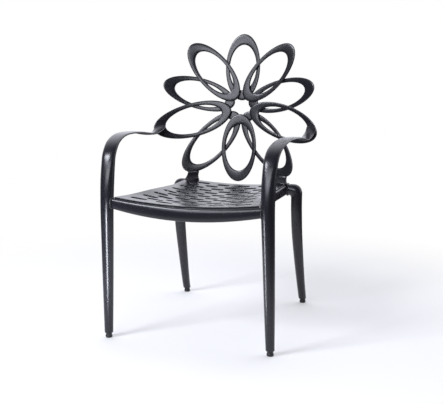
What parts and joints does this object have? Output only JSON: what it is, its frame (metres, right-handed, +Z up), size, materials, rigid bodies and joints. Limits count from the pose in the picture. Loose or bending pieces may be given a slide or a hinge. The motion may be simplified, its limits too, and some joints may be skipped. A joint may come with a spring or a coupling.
{
  "type": "garden armchair",
  "caption": "Cast metal garden armchair with a flower shaped back of long ellipse rings, slotted scooped seat, ribbon arms and round splayed legs.",
  "frame": {"origin": "on the floor under the middle of the overall box", "axes": "+X to the sitter's left, -Y to the front, +Z up"},
  "size_m": [0.5582, 0.5892, 0.9009],
  "materials": {
    "powder_coat": "satin charcoal powder coat on cast metal",
    "glide_plastic": "moulded, slightly dull",
    "screw_steel": "blackened, slightly worn"
  },
  "bodies": {
    "root": {"ring_top": "powder_coat", "ring_upper_left": "powder_coat", "ring_upper_right": "powder_coat", "ring_side_left": "powder_coat", "ring_side_right": "powder_coat", "ring_arm_left": "powder_coat", "ring_arm_right": "powder_coat", "ring_lower_left": "powder_coat", "ring_lower_right": "powder_coat", "ring_bottom": "powder_coat", "seat_pan": "powder_coat", "front_rail": "powder_coat", "rear_rail": "powder_coat", "side_rail_left": "powder_coat", "side_rail_right": "powder_coat", "front_leg_arm_left": "powder_coat", "front_leg_arm_right": "powder_coat", "rear_leg_left": "powder_coat", "rear_leg_right": "powder_coat", "back_bracket_left": "powder_coat", "back_bracket_right": "powder_coat", "bracket_screws": "screw_steel", "weld_front_left": "powder_coat", "weld_front_right": "powder_coat", "weld_arm_left": "powder_coat", "weld_arm_right": "powder_coat", "weld_rear_left": "powder_coat", "weld_rear_right": "powder_coat", "glide_front_left": "glide_plastic", "glide_front_right": "glide_plastic", "glide_rear_left": "glide_plastic", "glide_rear_right": "glide_plastic"}
  },
  "joints": []
}
